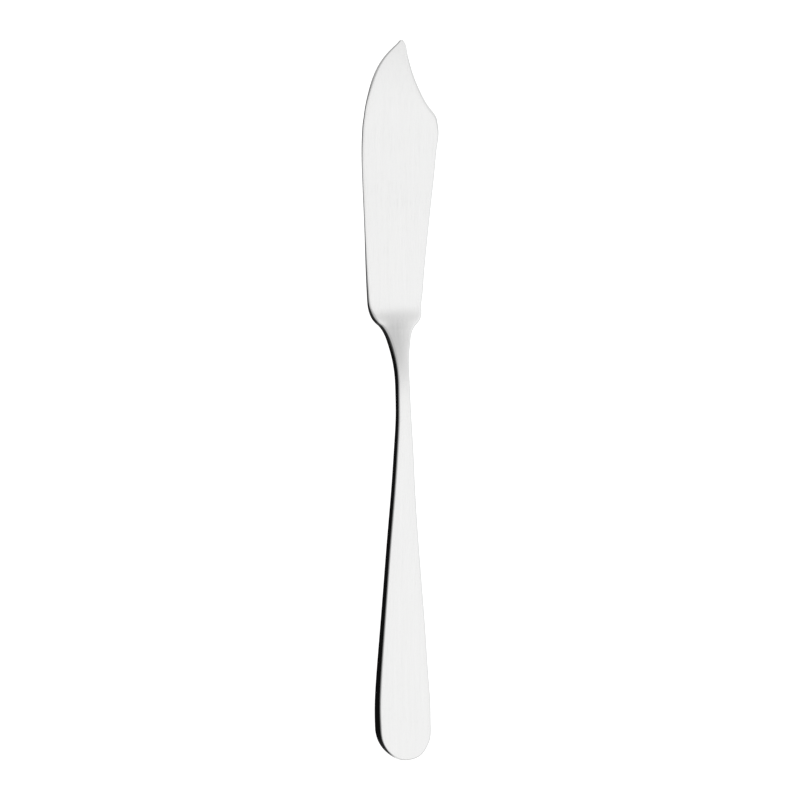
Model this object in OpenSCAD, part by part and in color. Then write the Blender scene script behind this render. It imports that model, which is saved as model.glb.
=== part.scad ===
// Fish knife made in one piece: a broad thin blade with a notched back, a slim
// neck and a flat teardrop handle. It lies on its underside with the blade's tip
// towards +Y, the cutting side towards -X and the back towards +X. The origin is
// the middle of the resting plane under the knife.

/* [Knife] */
// Overall length, butt to tip
knife_length = 205; // [190:1:220]
// Radius along the upper edges
edge_round = 0.45; // [0.2:0.05:0.5]
// Radius along the lower edges
under_round = 0.6; // [0.3:0.05:0.7]
// How far the faces are domed across their width
face_crown = 0.12; // [0.05:0.01:0.16]

/* [Handle] */
// Greatest width of the handle, near the butt
handle_width = 16.7; // [14:0.1:19]
// Thickness of the handle near the butt
handle_thickness = 4.0; // [3.2:0.1:4.6]
// How far the underside sweeps up at the butt, as a share of the thickness
butt_lift = 0.8; // [0:0.05:0.8]

/* [Neck] */
// Width of the neck at its narrowest
neck_width = 3.9; // [3.3:0.1:5]
// Thickness of the neck
neck_thickness = 2.5; // [2:0.05:3]
// How far the neck stands off the table
neck_arch = 1.85; // [0.4:0.05:2.2]

/* [Blade] */
// Greatest width of the blade, across the shoulder on its back
blade_width = 24.6; // [21:0.1:27]
// Thickness along the blade's back
back_thickness = 1.2; // [0.9:0.05:1.4]
// Thickness along the cutting edge, which is blunt
cutting_thickness = 0.2; // [0.15:0.05:0.6]
// Thickness at the tip
tip_thickness = 0.45; // [0.25:0.05:0.6]

/* [Hidden] */

// Stations of the reference outline, 205 long: distance from the butt, cutting
// side and back side, measured from the centre line of the handle.
OUTLINE = [
    [0, 0.4, 0.4], [1, -3.35, 4.8], [3, -5.8, 6.75], [6, -7.55, 8.15],
    [10, -8.1, 8.35], [15, -8.2, 8.35], [22, -7.87, 7.95], [35, -6.78, 7.1],
    [50, -5.7, 5.7], [65, -4.75, 4.1], [78, -3.75, 3], [90, -2.9, 2.35],
    [98, -2.4, 1.9], [105, -2.25, 1.7], [111, -2.3, 1.65], [115.5, -3, 1.8],
    [119, -4, 2.3], [122, -5.25, 2.95], [124, -6.75, 4.15], [125.4, -8.35, 5.55],
    [127, -9.5, 6.3], [130, -10.55, 6.4], [132.5, -10.85, 6.75], [136, -11.1, 7.1],
    [148, -11.6, 8.4], [160, -12.05, 9.95], [169, -12.35, 11.15], [175, -12.35, 11.9],
    [179, -12.15, 12.45], [181.4, -11.95, 12.15], [183.2, -11.65, 11.7], [186, -11.2, 9.45],
    [190, -10.15, 6.8], [194.5, -8.55, 4.6], [198.5, -6.35, 3.2], [201.5, -3.75, 2.4],
    [203.3, -1.7, 2.05], [204.4, -0.45, 1.55], [205, 0.35, 0.95],
];
REFERENCE = 205;
// Ribs between one station and the next
STEPS = 4;

// ---- curves through stations ----

// Second derivatives of a cubic spline through values v at parameters t. With
// flat set, the curve starts and ends level; otherwise it ends straight.
function bends(t, v, flat) =
    let (n = len(t) - 1,
         h = [for (i = [0:n - 1]) t[i + 1] - t[i]],
         g = [for (i = [0:n - 1]) (v[i + 1] - v[i]) / h[i]],
         low = [for (i = [0:n]) i == 0 ? 0 : i == n ? (flat ? h[n - 1] : 0) : h[i - 1]],
         mid = [for (i = [0:n]) i == 0 ? (flat ? 2 * h[0] : 1) : i == n ? (flat ? 2 * h[n - 1] : 1) : 2 * (h[i - 1] + h[i])],
         up = [for (i = [0:n]) i == 0 ? (flat ? h[0] : 0) : i == n ? 0 : h[i]],
         rhs = [for (i = [0:n]) i == 0 ? (flat ? 6 * g[0] : 0) : i == n ? (flat ? -6 * g[n - 1] : 0) : 6 * (g[i] - g[i - 1])],
         c = [for (i = 0, x = up[0] / mid[0]; i <= n; i = i + 1, x = i <= n ? up[i] / (mid[i] - low[i] * x) : 0) x],
         d = [for (i = 0, x = rhs[0] / mid[0]; i <= n; i = i + 1, x = i <= n ? (rhs[i] - low[i] * x) / (mid[i] - low[i] * c[i - 1]) : 0) x],
         back = [for (k = 0, x = d[n]; k <= n; k = k + 1, x = k <= n ? d[n - k] - c[n - k] * x : 0) x])
    [for (i = [0:n]) back[n - i]];

// The spline's value at a share f of the way from station i to the next
function along(t, v, m, i, f) =
    let (h = t[i + 1] - t[i], a = 1 - f)
    a * v[i] + f * v[i + 1] + h * h / 6 * ((a * a * a - a) * m[i] + (f * f * f - f) * m[i + 1]);

// Smooth rise from 0 to 1 between a and b
function ease(a, b, x) =
    let (f = min(1, max(0, (x - a) / (b - a))))
    f * f * f * (10 - 15 * f + 6 * f * f);

function mix(a, b, f) = a * (1 - f) + b * f;

// The same rise, drawn gentler
function swell(a, b, x) =
    let (f = min(1, max(0, (x - a) / (b - a))))
    f * f * (3 - 2 * f);

// A ramp whose slope grows from 0 to 1 while t goes from 0 to 1
function glide(t) =
    t >= 1 ? t - 0.5 : let (f = max(0, t)) f * f * f - f * f * f * f / 2;

// ---- the knife's faces, by distance s from the butt on the reference outline ----

// Thickness of the blade away from its cutting side, thinner towards the tip
function blade_thickness(s) =
    mix(back_thickness * (1.35 - 0.35 * swell(128, 170, s) - 0.34 * swell(150, 188, s)),
        tip_thickness, pow(min(1, max(0, (s - 186) / 19)), 1.4));

// How far the underside rises at the cutting edge: the blade is ground thin from
// below, from the end of the shoulder on. u runs from -1 on the cutting side to 1
// on the back.
function bevel(s, u) =
    let (edge = cutting_thickness + 1.25 / sqrt(1 + pow(max(0, s - 128.3) / 2.6, 2))
             + 0.17 * swell(128, 136, s) * (1 - swell(140, 155, s))
             + 0.17 * swell(165, 180, s) + 0.25 * swell(186, 194, s))
    (1 - u) / 2 * max(0, blade_thickness(s) - edge) * swell(126, 129, s) * (1 - swell(190, 203, s));

// Underside at the rim: swept up at the butt, arched under the neck
function rim_under(s, u) =
    butt_lift * handle_thickness * pow(max(0, 1 - s / 9), 1.3)
    + neck_arch * ease(22, 92, s) * (1 - ease(94, 125, s))
    + 0.04 + bevel(s, u);

// Share of the way down from the neck's top to the blade's top: one even slope
// between two soft bends
function neck_fall(s) =
    (28.05 * glide((s - 83) / 33) + 2.25 * glide((s - 108) / 15)
     - 0.72 * glide((s - 122.5) / 4) - 6.56 * glide((s - 125.7) / 8)) / 26.864;

// Top at the rim
function rim_top(s, u) =
    let (at = min(s, 100),
         neck = neck_arch * ease(22, 92, s) + 0.04 + neck_thickness
             + (handle_thickness - neck_thickness) * (1 / (1 + pow(at / 28, 2)) - 0.09 * at / 100))
    mix(neck, 0.04 + blade_thickness(s), neck_fall(s));

// Where the upper edge is rounded over more: on the cutting side of the shoulder,
// and widely in the hollow of the back
function shoulder(s, u) =
    u < 0
    ? (swell(110, 120, s) - 0.2 * swell(117, 121, s) + 0.2 * swell(122, 125, s)) * (1 - swell(127, 130.5, s))
    : 0;
function notch(s, u) = u > 0 ? swell(174, 184, s) * (1 - swell(198, 204, s)) : 0;

// Doming across the width, less where the knife is narrow and none at the ends
function dome(s, half) =
    face_crown * min(1, half / 4) * ease(0, 9, s)
    * (1 - 0.7 * swell(85, 105, s) + 0.3 * swell(110, 120, s) - 0.35 * swell(124, 140, s)
       - 0.25 * swell(150, 205, s));

// ---- outline ----

COUNT = len(OUTLINE);
STRETCH = knife_length / REFERENCE;
function wide(s) =
    s < 104
    ? mix(handle_width / 16.7, neck_width / 3.9, ease(40, 100, s))
    : mix(neck_width / 3.9, blade_width / 24.6, ease(108, 128, s));
S_AT = [for (o = OUTLINE) o[0] * STRETCH];
LEFT_AT = [for (o = OUTLINE) o[1] * wide(o[0])];
RIGHT_AT = [for (o = OUTLINE) o[2] * wide(o[0])];
CHORD = [for (i = [1:COUNT - 1])
    (norm([S_AT[i] - S_AT[i - 1], LEFT_AT[i] - LEFT_AT[i - 1]])
     + norm([S_AT[i] - S_AT[i - 1], RIGHT_AT[i] - RIGHT_AT[i - 1]])) / 2];
T_AT = [for (i = 0, x = 0; i < COUNT; i = i + 1, x = i < COUNT ? x + CHORD[i - 1] : 0) x];
S_BEND = bends(T_AT, S_AT, true);
LEFT_BEND = bends(T_AT, LEFT_AT, false);
RIGHT_BEND = bends(T_AT, RIGHT_AT, false);

// Points along each side, butt to tip, evenly between stations
LAST = (COUNT - 1) * STEPS;
function station(i) = min(COUNT - 2, floor(i / STEPS));
function side_points(v, m) = [for (i = [0:LAST])
    let (k = station(i), f = i / STEPS - k)
    [along(T_AT, v, m, k, f), along(T_AT, S_AT, S_BEND, k, f)]];
LEFT = side_points(LEFT_AT, LEFT_BEND);
RIGHT = side_points(RIGHT_AT, RIGHT_BEND);

// The closed outline: up the cutting side to the tip and down the back
LOOP = concat(LEFT, [for (i = [LAST - 1:-1:1]) RIGHT[i]]);
TURN = len(LOOP);
// Middle of the knife's box across its width, which is the origin's place
MIDDLE = (max([for (p = LOOP) p[0]]) + min([for (p = LOOP) p[0]])) / 2;
function is_left(i) = i <= LAST;
function side_of(i) = i == 0 || i == LAST ? 0 : is_left(i) ? -1 : 1;
OUTWARD = [for (i = [0:TURN - 1])
    let (a = LOOP[(i + TURN - 1) % TURN], b = LOOP[(i + 1) % TURN], d = b - a)
    [-d[1], d[0]] / norm(d)];

// Heights of the rim, its radii and the reach of the upper rounding, at each point
// of the outline. The heights are those where each rounding meets its face.
RIM = [for (i = [0:TURN - 1])
    let (s = LOOP[i][1] / STRETCH, u = side_of(i), room = rim_top(s, u) - rim_under(s, u),
         below = min(under_round, room * 0.4),
         above = min(edge_round * (1 + 0.9 * shoulder(s, u)), room * 0.55),
         reach = above * (1 + 1.2 * notch(s, u)), inward = OUTWARD[i][1] / STRETCH)
    [rim_under(s - inward * below, u), rim_top(s - inward * reach, u), below, above, reach]];

// Rings of the rim, from the underside over the lower edge, wall and upper edge
ARC = 4;
function rim_ring(low, k) = [for (i = [0:TURN - 1])
    let (a = 90 * k / ARC, r = low ? RIM[i][2] : RIM[i][3],
         p = LOOP[i] - OUTWARD[i] * ((low ? r : RIM[i][4]) * (1 - cos(a))))
    [p[0] - MIDDLE, p[1] - knife_length / 2, low ? RIM[i][0] + r * (1 - sin(a)) : RIM[i][1] - r * (1 - sin(a))]];
RINGS = concat([for (k = [ARC:-1:0]) rim_ring(true, k)], [for (k = [0:ARC]) rim_ring(false, k)]);
HOOPS = len(RINGS);

// Points across a face at rib i, between its rim points. The underside is flat from
// the back to past the middle, and rises from there to the cutting edge.
ACROSS_TOP = 8;
ACROSS_UNDER = 6;
function across(ring, i, parts, sign) =
    let (a = ring[i], b = ring[TURN - i], half = norm(b - a) / 2,
         s = (a[1] + knife_length / 2) / STRETCH)
    [for (j = [1:parts - 1])
        let (f = j / parts, u = 2 * f - 1, p = mix(a, b, f),
             z = sign > 0 ? p[2] : mix(b[2], a[2], pow(max(0, -u - 0.2) / 0.8, 1.5)))
        [p[0], p[1], z + sign * dome(s, half) * (1 - u * u)]];
TOP = [for (i = [1:LAST - 1]) each across(RINGS[HOOPS - 1], i, ACROSS_TOP, 1)];
UNDER = [for (i = [1:LAST - 1]) each across(RINGS[0], i, ACROSS_UNDER, -1)];

POINTS = concat([for (r = RINGS) each r], TOP, UNDER);
TOP_AT = HOOPS * TURN;
UNDER_AT = TOP_AT + len(TOP);

// Index of the point at rib i and column j of a face
function face_point(rim, start, parts, i, j) =
    i == 0 ? rim : i == LAST ? rim + LAST :
    j == 0 ? rim + i : j == parts ? rim + TURN - i :
    start + (i - 1) * (parts - 1) + j - 1;

function face_tiles(rim, start, parts, flip) = [
    for (i = [0:LAST - 1], j = [0:parts - 1])
        let (a = face_point(rim, start, parts, i, j), b = face_point(rim, start, parts, i, j + 1),
             c = face_point(rim, start, parts, i + 1, j + 1), d = face_point(rim, start, parts, i + 1, j))
        each a == b ? [flip ? [a, d, c] : [a, c, d]] :
             c == d ? [flip ? [a, c, b] : [a, b, c]] :
             flip ? [[a, d, c], [a, c, b]] : [[a, b, c], [a, c, d]]];

RIM_TILES = [for (k = [0:HOOPS - 2], i = [0:TURN - 1])
    let (j = (i + 1) % TURN, a = k * TURN + i, b = k * TURN + j, c = (k + 1) * TURN + j, d = (k + 1) * TURN + i)
    each [[a, b, c], [a, c, d]]];

// The forged and polished blank
module blank() {
    polyhedron(
        points = POINTS,
        faces = concat(
            RIM_TILES,
            face_tiles((HOOPS - 1) * TURN, TOP_AT, ACROSS_TOP, true),
            face_tiles(0, UNDER_AT, ACROSS_UNDER, false)));
}

// The knife, flat where it lies on the table
module knife_body() {
    color("silver")
        difference() {
            blank();
            translate([-40, -knife_length / 2 - 10, -5]) cube([80, knife_length + 20, 5]);
        }
}

knife_body();
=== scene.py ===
"""Fish knife: one polished steel piece with a broad notched blade, a slim neck and
a flat teardrop handle, on a plain pale floor under soft light."""
import math

import bpy
import numpy as np
from mathutils import Matrix, Vector


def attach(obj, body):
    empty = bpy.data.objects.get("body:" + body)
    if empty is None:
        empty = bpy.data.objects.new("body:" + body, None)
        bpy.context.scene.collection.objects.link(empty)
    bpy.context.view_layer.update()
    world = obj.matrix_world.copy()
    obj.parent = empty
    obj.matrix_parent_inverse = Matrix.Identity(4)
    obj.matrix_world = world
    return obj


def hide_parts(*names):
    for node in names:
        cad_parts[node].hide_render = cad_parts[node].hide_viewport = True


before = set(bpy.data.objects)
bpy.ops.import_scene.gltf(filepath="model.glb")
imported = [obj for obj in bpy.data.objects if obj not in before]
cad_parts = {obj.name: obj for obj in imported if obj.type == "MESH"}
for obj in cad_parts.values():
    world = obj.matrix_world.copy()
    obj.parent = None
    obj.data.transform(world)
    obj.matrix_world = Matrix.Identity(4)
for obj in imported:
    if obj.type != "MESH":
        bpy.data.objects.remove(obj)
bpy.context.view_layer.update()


# ---------------------------------------------------------------- the knife's shape
# All in millimetres, as the frame has it: s runs from the butt to the tip.

LENGTH = 205.0
EDGE_ROUND = 0.45
UNDER_ROUND = 0.6
FACE_CROWN = 0.12
HANDLE_THICKNESS = 4.0
BUTT_LIFT = 3.2
NECK_THICKNESS = 2.5
NECK_ARCH = 1.85
BACK_THICKNESS = 1.2
CUTTING_THICKNESS = 0.2
TIP_THICKNESS = 0.45

# distance from the butt, cutting side, back side
OUTLINE = np.array([
    [0, 0.4, 0.4], [1, -3.35, 4.8], [3, -5.8, 6.75], [6, -7.55, 8.15],
    [10, -8.1, 8.35], [15, -8.2, 8.35], [22, -7.87, 7.95], [35, -6.78, 7.1],
    [50, -5.7, 5.7], [65, -4.75, 4.1], [78, -3.75, 3], [90, -2.9, 2.35],
    [98, -2.4, 1.9], [105, -2.25, 1.7], [111, -2.3, 1.65], [115.5, -3, 1.8],
    [119, -4, 2.3], [122, -5.25, 2.95], [124, -6.75, 4.15], [125.4, -8.35, 5.55],
    [127, -9.5, 6.3], [130, -10.55, 6.4], [132.5, -10.85, 6.75], [136, -11.1, 7.1], [148, -11.6, 8.4],
    [160, -12.05, 9.95], [169, -12.35, 11.15], [175, -12.35, 11.9], [179, -12.15, 12.45],
    [181.4, -11.95, 12.15], [183.2, -11.65, 11.7], [186, -11.2, 9.45],
    [190, -10.15, 6.8], [194.5, -8.55, 4.6], [198.5, -6.35, 3.2],
    [201.5, -3.75, 2.4], [203.3, -1.7, 2.05], [204.4, -0.45, 1.55], [205, 0.35, 0.95],
])

def bends(t, v, flat):
    """Second derivatives of a cubic spline through v at t, level or straight at its ends."""
    n = len(t) - 1
    h = np.diff(t)
    g = np.diff(v) / h
    a = np.zeros((n + 1, n + 1))
    r = np.zeros(n + 1)
    for i in range(1, n):
        a[i, i - 1:i + 2] = h[i - 1], 2 * (h[i - 1] + h[i]), h[i]
        r[i] = 6 * (g[i] - g[i - 1])
    if flat:
        a[0, :2] = 2 * h[0], h[0]
        a[n, n - 1:] = h[n - 1], 2 * h[n - 1]
        r[0], r[n] = 6 * g[0], -6 * g[n - 1]
    else:
        a[0, 0] = a[n, n] = 1
    return np.linalg.solve(a, r)


def along(t, v, flat, steps):
    m = bends(t, v, flat)
    out = []
    for i in range(len(t) - 1):
        h = t[i + 1] - t[i]
        for k in range(steps):
            f = k / steps
            q = 1 - f
            out.append(q * v[i] + f * v[i + 1] + h * h / 6 * ((q ** 3 - q) * m[i] + (f ** 3 - f) * m[i + 1]))
    out.append(v[-1])
    return np.array(out)


def ease(a, b, x):
    f = np.clip((np.asarray(x, float) - a) / (b - a), 0, 1)
    return f ** 3 * (10 - 15 * f + 6 * f * f)


def swell(a, b, x):
    f = np.clip((np.asarray(x, float) - a) / (b - a), 0, 1)
    return f * f * (3 - 2 * f)


def glide(t):
    """A ramp whose slope grows smoothly from 0 to 1 while t goes from 0 to 1."""
    f = np.clip(t, 0, 1)
    return np.where(np.asarray(t) < 1, f ** 3 - f ** 4 / 2, np.asarray(t) - 0.5)


def neck_fall(s):
    """Share of the way down from the neck's top to the blade's top."""
    return (28.05 * glide((s - 83) / 33) + 2.25 * glide((s - 108) / 15)
            - 0.72 * glide((s - 122.5) / 4) - 6.56 * glide((s - 125.7) / 8)) / 26.864


def blade_thickness(s):
    """Thickness of the blade away from its cutting side, thinner towards the tip."""
    s = np.asarray(s, float)
    back = BACK_THICKNESS * (1.35 - 0.35 * swell(128, 170, s) - 0.34 * swell(150, 188, s))
    tip = np.clip((s - 186) / 19, 0, 1) ** 1.4
    return back * (1 - tip) + TIP_THICKNESS * tip


def bevel(s, u):
    """How far the underside rises at the cutting edge, from the end of the shoulder on."""
    s = np.asarray(s, float)
    edge = (CUTTING_THICKNESS + 1.25 / np.sqrt(1 + (np.maximum(0, s - 128.3) / 2.6) ** 2)
            + 0.17 * swell(128, 136, s) * (1 - swell(140, 155, s))
            + 0.17 * swell(165, 180, s) + 0.25 * swell(186, 194, s))
    return (1 - u) / 2 * np.maximum(0, blade_thickness(s) - edge) * swell(126, 129, s) * (1 - swell(190, 203, s))


def rim_under(s, u):
    return (BUTT_LIFT * np.maximum(0, 1 - s / 9) ** 1.3
            + NECK_ARCH * ease(22, 92, s) * (1 - ease(94, 125, s))
            + 0.04 + bevel(s, u))


def rim_top(s, u):
    at = np.minimum(s, 100)
    neck = (NECK_ARCH * ease(22, 92, s) + 0.04 + NECK_THICKNESS
            + (HANDLE_THICKNESS - NECK_THICKNESS) * (1 / (1 + (at / 28) ** 2) - 0.09 * at / 100))
    fall = neck_fall(s)
    return neck * (1 - fall) + (0.04 + blade_thickness(s)) * fall


def shoulder(s, u):
    """1 along the cutting side of the shoulder, where the upper edge is rounded over most."""
    return np.where(u < 0, (swell(110, 120, s) - 0.2 * swell(117, 121, s) + 0.2 * swell(122, 125, s)) * (1 - swell(127, 130.5, s)), 0)


def notch(s, u):
    """1 along the hollow of the back, where the upper edge is rounded over widest."""
    return np.where(u > 0, swell(174, 184, s) * (1 - swell(198, 204, s)), 0)


def knife_mesh(steps, arc, across_top, across_under):
    """Points, faces and each point's nearness to the rim."""
    s_at, left_at, right_at = OUTLINE.T
    chord = (np.hypot(np.diff(s_at), np.diff(left_at)) + np.hypot(np.diff(s_at), np.diff(right_at))) / 2
    t = np.concatenate([[0], np.cumsum(chord)])
    s = along(t, s_at, True, steps)
    left = along(t, left_at, False, steps)
    right = along(t, right_at, False, steps)
    last = len(s) - 1
    loop = np.array([(left[i], s[i]) for i in range(last + 1)] + [(right[i], s[i]) for i in range(last - 1, 0, -1)])
    turn = len(loop)
    middle = (loop[:, 0].max() + loop[:, 0].min()) / 2
    d = np.roll(loop, -1, 0) - np.roll(loop, 1, 0)
    out = np.column_stack([-d[:, 1], d[:, 0]]) / np.linalg.norm(d, axis=1)[:, None]
    side = np.array([0 if i in (0, last) else -1 if i < last else 1 for i in range(turn)])
    s, soft = loop[:, 1], shoulder(loop[:, 1], side)
    room = rim_top(s, side) - rim_under(s, side)
    r_low = np.minimum(UNDER_ROUND, room * 0.4)
    r_high = np.minimum(EDGE_ROUND * (1 + 0.9 * soft), room * 0.55)
    wide = 1 + 1.2 * notch(s, side)
    # the faces' heights are taken where each rounding meets its face
    low = rim_under(s - out[:, 1] * r_low, side)
    high = rim_top(s - out[:, 1] * r_high * wide, side)

    def ring(under, k):
        a = math.radians(90 * k / arc)
        r = r_low if under else r_high
        p = loop - out * (r * (1 if under else wide) * (1 - math.cos(a)))[:, None]
        z = low + r * (1 - math.sin(a)) if under else high - r * (1 - math.sin(a))
        return np.column_stack([p[:, 0] - middle, p[:, 1] - LENGTH / 2, z])

    rings = [ring(True, k) for k in range(arc, -1, -1)] + [ring(False, k) for k in range(arc + 1)]
    hoops = len(rings)

    def across(rim, parts, sign):
        rows = []
        for i in range(1, last):
            a, b = rim[i], rim[turn - i]
            f = np.arange(1, parts) / parts
            u = 2 * f - 1
            at = a[1] + LENGTH / 2
            crown = FACE_CROWN * min(1, np.linalg.norm(b - a) / 8) * ease(0, 9, at) * (1 - 0.7 * swell(85, 105, at) + 0.3 * swell(110, 120, at) - 0.35 * swell(124, 140, at) - 0.25 * swell(150, 205, at))
            p = a[None] * (1 - f)[:, None] + b[None] * f[:, None]
            if sign < 0:
                # flat from the back to past the middle, then up to the cutting edge
                p[:, 2] = b[2] + (a[2] - b[2]) * (np.maximum(0, -u - 0.2) / 0.8) ** 1.5
            p[:, 2] += sign * crown * (1 - u * u)
            rows.append(p)
        return np.concatenate(rows)

    top = across(rings[-1], across_top, 1)
    under = across(rings[0], across_under, -1)
    points = np.concatenate(rings + [top, under])
    points[:, 2] = np.maximum(points[:, 2], 0)
    top_at = hoops * turn
    under_at = top_at + len(top)

    def at(rim, start, parts, i, j):
        if i == 0:
            return rim
        if i == last:
            return rim + last
        if j == 0:
            return rim + i
        if j == parts:
            return rim + turn - i
        return start + (i - 1) * (parts - 1) + j - 1

    faces = []
    for k in range(hoops - 1):
        for i in range(turn):
            j = (i + 1) % turn
            # seen from outside, anticlockwise
            faces.append((k * turn + i, (k + 1) * turn + i, (k + 1) * turn + j, k * turn + j))
    for rim, start, parts, up in (((hoops - 1) * turn, top_at, across_top, True), (0, under_at, across_under, False)):
        for i in range(last):
            for j in range(parts):
                q = [at(rim, start, parts, i, j), at(rim, start, parts, i, j + 1),
                     at(rim, start, parts, i + 1, j + 1), at(rim, start, parts, i + 1, j)]
                q = [v for n, v in enumerate(q) if v not in q[:n]]
                faces.append(tuple(q if up else q[::-1]))
    # how near each point is to the rim, 1 on it and 0 from 2 mm inside
    near = np.zeros(len(points))
    near[:top_at] = 1
    rim_points = np.column_stack([loop[:, 0] - middle, loop[:, 1] - LENGTH / 2])
    for n in range(top_at, len(points)):
        near[n] = max(0, 1 - np.sqrt(((rim_points - points[n, :2]) ** 2).sum(1).min()) / 2)
    return points, faces, near


points, faces, near = knife_mesh(12, 7, 24, 16)
mesh = bpy.data.meshes.new("fish_knife")
mesh.from_pydata((points / 1000).tolist(), [], faces)
mesh.update()
mesh.polygons.foreach_set("use_smooth", [True] * len(mesh.polygons))
rim = mesh.attributes.new("rim", "FLOAT", "POINT")
rim.data.foreach_set("value", near.astype(np.float32))
knife = bpy.data.objects.new("fish_knife", mesh)
bpy.context.collection.objects.link(knife)


# ---------------------------------------------------------------- polished steel

def polished_steel():
    mat = bpy.data.materials.new("polished_stainless_steel")
    mat.use_nodes = True
    nodes, links = mat.node_tree.nodes, mat.node_tree.links
    nodes.clear()
    out = nodes.new("ShaderNodeOutputMaterial")
    steel = nodes.new("ShaderNodeBsdfPrincipled")
    steel.inputs["Metallic"].default_value = 1.0
    links.new(steel.outputs["BSDF"], out.inputs["Surface"])
    place = nodes.new("ShaderNodeTexCoord")

    def noise(scale, stretch, detail=2.0, rough=0.5, turn=0.0):
        spin = nodes.new("ShaderNodeMapping")
        spin.inputs["Rotation"].default_value = (0, 0, math.radians(turn))
        links.new(place.outputs["Object"], spin.inputs["Vector"])
        m = nodes.new("ShaderNodeMapping")
        m.inputs["Scale"].default_value = stretch
        links.new(spin.outputs["Vector"], m.inputs["Vector"])
        n = nodes.new("ShaderNodeTexNoise")
        n.inputs["Scale"].default_value = scale
        n.inputs["Detail"].default_value = detail
        n.inputs["Roughness"].default_value = rough
        links.new(m.outputs["Vector"], n.inputs["Vector"])
        return n.outputs["Fac"]

    def remap(value, a, b, c, d):
        r = nodes.new("ShaderNodeMapRange")
        r.inputs["From Min"].default_value = a
        r.inputs["From Max"].default_value = b
        r.inputs["To Min"].default_value = c
        r.inputs["To Max"].default_value = d
        links.new(value, r.inputs["Value"])
        return r.outputs["Result"]

    def sum_of(*values):
        total = values[0]
        for v in values[1:]:
            a = nodes.new("ShaderNodeMath")
            a.operation = "ADD"
            links.new(total, a.inputs[0])
            links.new(v, a.inputs[1])
            total = a.outputs[0]
        return total

    grain = noise(900, (1, 0.035, 1), 3.0, 0.6)                   # lines of the polishing belt, along the knife
    fine = noise(7000, (1, 0.012, 1), 2.0)                        # the finer compound after it
    cloud = noise(55, (1, 0.6, 1), 3.0)                           # buffing that comes and goes
    # hairline scratches from the drawer and the cloth, 1 in a scratch and 0 between
    hair = remap(noise(15000, (1, 0.004, 1), 0.0, 0.5, 3), 0.70, 0.78, 0, 1)
    slant = remap(noise(17000, (1, 0.006, 1), 0.0, 0.5, -17), 0.75, 0.82, 0, 1)
    cross = remap(noise(17000, (1, 0.008, 1), 0.0, 0.5, 61), 0.78, 0.85, 0, 1)
    scratch = sum_of(hair, slant, cross)
    touch = nodes.new("ShaderNodeAttribute")
    touch.attribute_name = "rim"

    rough = sum_of(
        remap(cloud, 0.3, 0.7, 0.085, 0.115),
        remap(grain, 0.25, 0.75, -0.02, 0.025),
        remap(fine, 0.3, 0.7, -0.012, 0.012),
        remap(scratch, 0.0, 1.0, 0.0, 0.08),
        remap(touch.outputs["Fac"], 0.0, 1.0, 0.0, 0.03),
    )
    links.new(rough, steel.inputs["Roughness"])

    tone = nodes.new("ShaderNodeMix")
    tone.data_type = "RGBA"
    tone.clamp_factor = False
    tone.inputs["A"].default_value = (0.735, 0.735, 0.732, 1)
    tone.inputs["B"].default_value = (0.775, 0.775, 0.773, 1)
    links.new(sum_of(
        remap(grain, 0.3, 0.7, 0.22, 0.78),
        remap(fine, 0.3, 0.7, -0.22, 0.22),
        remap(cloud, 0.3, 0.7, -0.08, 0.08),
        remap(scratch, 0.0, 1.0, 0.0, -0.6),
    ), tone.inputs["Factor"])
    links.new(tone.outputs["Result"], steel.inputs["Base Color"])

    height = sum_of(
        remap(grain, 0, 1, 0, 0.6),
        remap(fine, 0, 1, 0, 0.25),
        remap(scratch, 0, 1, 0, -0.5),
    )
    bump = nodes.new("ShaderNodeBump")
    bump.inputs["Strength"].default_value = 0.05
    bump.inputs["Distance"].default_value = 0.00002
    links.new(height, bump.inputs["Height"])
    links.new(bump.outputs["Normal"], steel.inputs["Normal"])
    return mat


mesh.materials.append(polished_steel())
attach(knife, "root")
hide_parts("knife_body")


# ---------------------------------------------------------------- floor, light, camera

floor_mesh = bpy.data.meshes.new("floor")
floor_mesh.from_pydata([(-3, -3, -0.0001), (3, -3, -0.0001), (3, 3, -0.0001), (-3, 3, -0.0001)], [], [(0, 1, 2, 3)])
floor = bpy.data.objects.new("floor", floor_mesh)
bpy.context.collection.objects.link(floor)
paper = bpy.data.materials.new("white_sweep")
paper.use_nodes = True
sheet = paper.node_tree.nodes["Principled BSDF"]
sheet.inputs["Base Color"].default_value = (0.13, 0.13, 0.13, 1)
sheet.inputs["Roughness"].default_value = 0.8
sheet.inputs["Specular IOR Level"].default_value = 0.0
# the sweep is lit from behind, as a light table is
sheet.inputs["Emission Color"].default_value = (1, 1, 1, 1)
sheet.inputs["Emission Strength"].default_value = 1.11
floor_mesh.materials.append(paper)
floor.visible_glossy = False

world = bpy.data.worlds.new("studio")
bpy.context.scene.world = world
world.use_nodes = True
wn, wl = world.node_tree.nodes, world.node_tree.links
wn.clear()
w_out = wn.new("ShaderNodeOutputWorld")
w_bg = wn.new("ShaderNodeBackground")
wl.new(w_bg.outputs["Background"], w_out.inputs["Surface"])
w_at = wn.new("ShaderNodeTexCoord")
w_xyz = wn.new("ShaderNodeSeparateXYZ")
wl.new(w_at.outputs["Generated"], w_xyz.inputs["Vector"])


def w_step(value, a, b, c=0.0, d=1.0):
    r = wn.new("ShaderNodeMapRange")
    r.interpolation_type = "SMOOTHSTEP"
    r.inputs["From Min"].default_value = a
    r.inputs["From Max"].default_value = b
    r.inputs["To Min"].default_value = c
    r.inputs["To Max"].default_value = d
    wl.new(value, r.inputs["Value"])
    return r.outputs["Result"]


def w_math(op, a, b):
    m = wn.new("ShaderNodeMath")
    m.operation = op
    for k, v in enumerate((a, b)):
        if isinstance(v, (int, float)):
            m.inputs[k].default_value = v
        else:
            wl.new(v, m.inputs[k])
    return m.outputs[0]


wx, wy, wz = w_xyz.outputs
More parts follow.
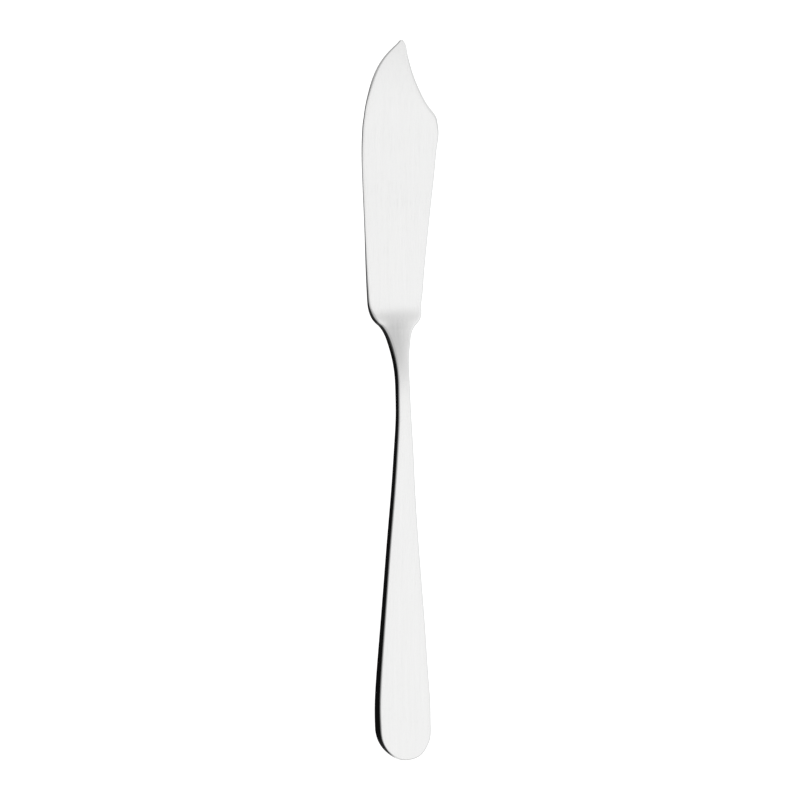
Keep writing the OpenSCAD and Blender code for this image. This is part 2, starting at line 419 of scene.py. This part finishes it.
# a black flag low on the left, by the cutting side, and the dark under the table's edge
flag = w_math("MULTIPLY", w_step(wx, 0.05, 0.46, 1.0, 0.0), w_step(wz, 0.45, 0.98, 1.0, 0.0))
under = w_math("MULTIPLY", w_step(wx, -0.20, 0.18, 1.0, 0.0), w_step(wz, -0.1, 0.15, 1.0, 0.0))
flag = w_math("MULTIPLY", w_math("MAXIMUM", flag, under), w_step(wy, 0.34, 0.56, 0.99, 0.22))
flag = w_math("MULTIPLY", flag, w_step(wy, -1.0, -0.92, 0.3, 1.0))
flag = w_math("MULTIPLY", flag, w_step(wy, -0.55, -0.25, 0.975, 1.0))
# light comes round the flag's near end
near_end = w_math("MULTIPLY", w_step(wx, -0.15, 0.10), w_step(wy, -0.80, -0.65, 1.0, 0.0))
flag = w_math("MULTIPLY", flag, w_math("SUBTRACT", 1.0, near_end))
# a dim strip of the room above the flag's foot, far out on the left
strip = w_math("MULTIPLY", w_step(wx, -0.97, -0.80, 1.0, 0.0), w_step(wz, 0.0, 0.20))
strip = w_math("MULTIPLY", strip, w_step(wz, 0.25, 0.50, 0.50, 0.0))
flag = w_math("MULTIPLY", flag, w_math("SUBTRACT", 1.0, strip))
# the diffuser ends beyond the tip, more so on the left
slant = w_math("ADD", wy, w_math("MULTIPLY", w_math("MAXIMUM", w_math("SUBTRACT", 0.41, wx), 0.0), 1.2))
far_end = w_math("MULTIPLY", w_step(slant, 0.03, 0.125), w_step(wx, 0.40, 0.60, 0.46, 0.10))
# a greyer strip of the room low on the right
low_right = w_math("MULTIPLY", w_step(wz, 0.35, 0.86, 1.0, 0.0), w_step(wz, -0.25, -0.05))
low_right = w_math("MULTIPLY", low_right, w_step(wy, -0.50, -0.10, 0.45, 0.31))
low_right = w_math("MULTIPLY", low_right, w_step(wy, 0.0, 0.40, 1.0, 0.3))
low_right = w_math("MULTIPLY", low_right, w_step(wx, 0.0, 0.3))
light = w_math("MULTIPLY", w_math("SUBTRACT", 1.0, flag), w_math("SUBTRACT", 1.0, far_end))
light = w_math("MULTIPLY", light, w_math("SUBTRACT", 1.0, low_right))
# a soft shade between the diffuser and the flag, behind the butt
shade = w_math("MULTIPLY", w_step(wx, 0.25, 0.43, 1.0, 0.0), w_step(wx, -0.05, 0.10))
shade = w_math("MULTIPLY", shade, w_step(wy, -0.30, -0.16, 1.0, 0.0))
shade = w_math("MULTIPLY", shade, w_step(wy, -0.65, -0.45, 0.0, 0.27))
light = w_math("MULTIPLY", light, w_math("SUBTRACT", 1.0, shade))
wl.new(w_math("MULTIPLY", light, 1.46), w_bg.inputs["Strength"])

cam_data = bpy.data.cameras.new("camera")
cam = bpy.data.objects.new("camera", cam_data)
bpy.context.collection.objects.link(cam)
ROLL, PITCH, LENS = math.radians(28), math.radians(4), 200.0
PX_PER_MM = 3.518
distance = LENS / 36 * 800 / PX_PER_MM / 1000
away = Vector((-math.sin(ROLL) * math.cos(PITCH), math.sin(PITCH), math.cos(ROLL) * math.cos(PITCH)))
right = Vector((0, 1, 0)).cross(away).normalized()
up = away.cross(right)
target = Vector((0.0, 0.0, 0.0015)) - right * (1.75 / PX_PER_MM / 1000) + up * (1.8 / PX_PER_MM / 1000)
cam.matrix_world = Matrix.Translation(target + away * distance) @ Matrix((right, up, away)).transposed().to_4x4()
cam_data.lens = LENS
cam_data.sensor_width = 36
cam_data.clip_start = 0.01
bpy.context.scene.camera = cam

view = bpy.context.scene.view_settings
view.view_transform = "Standard"
view.look = "None"
view.exposure = 0.0
view.gamma = 1.0
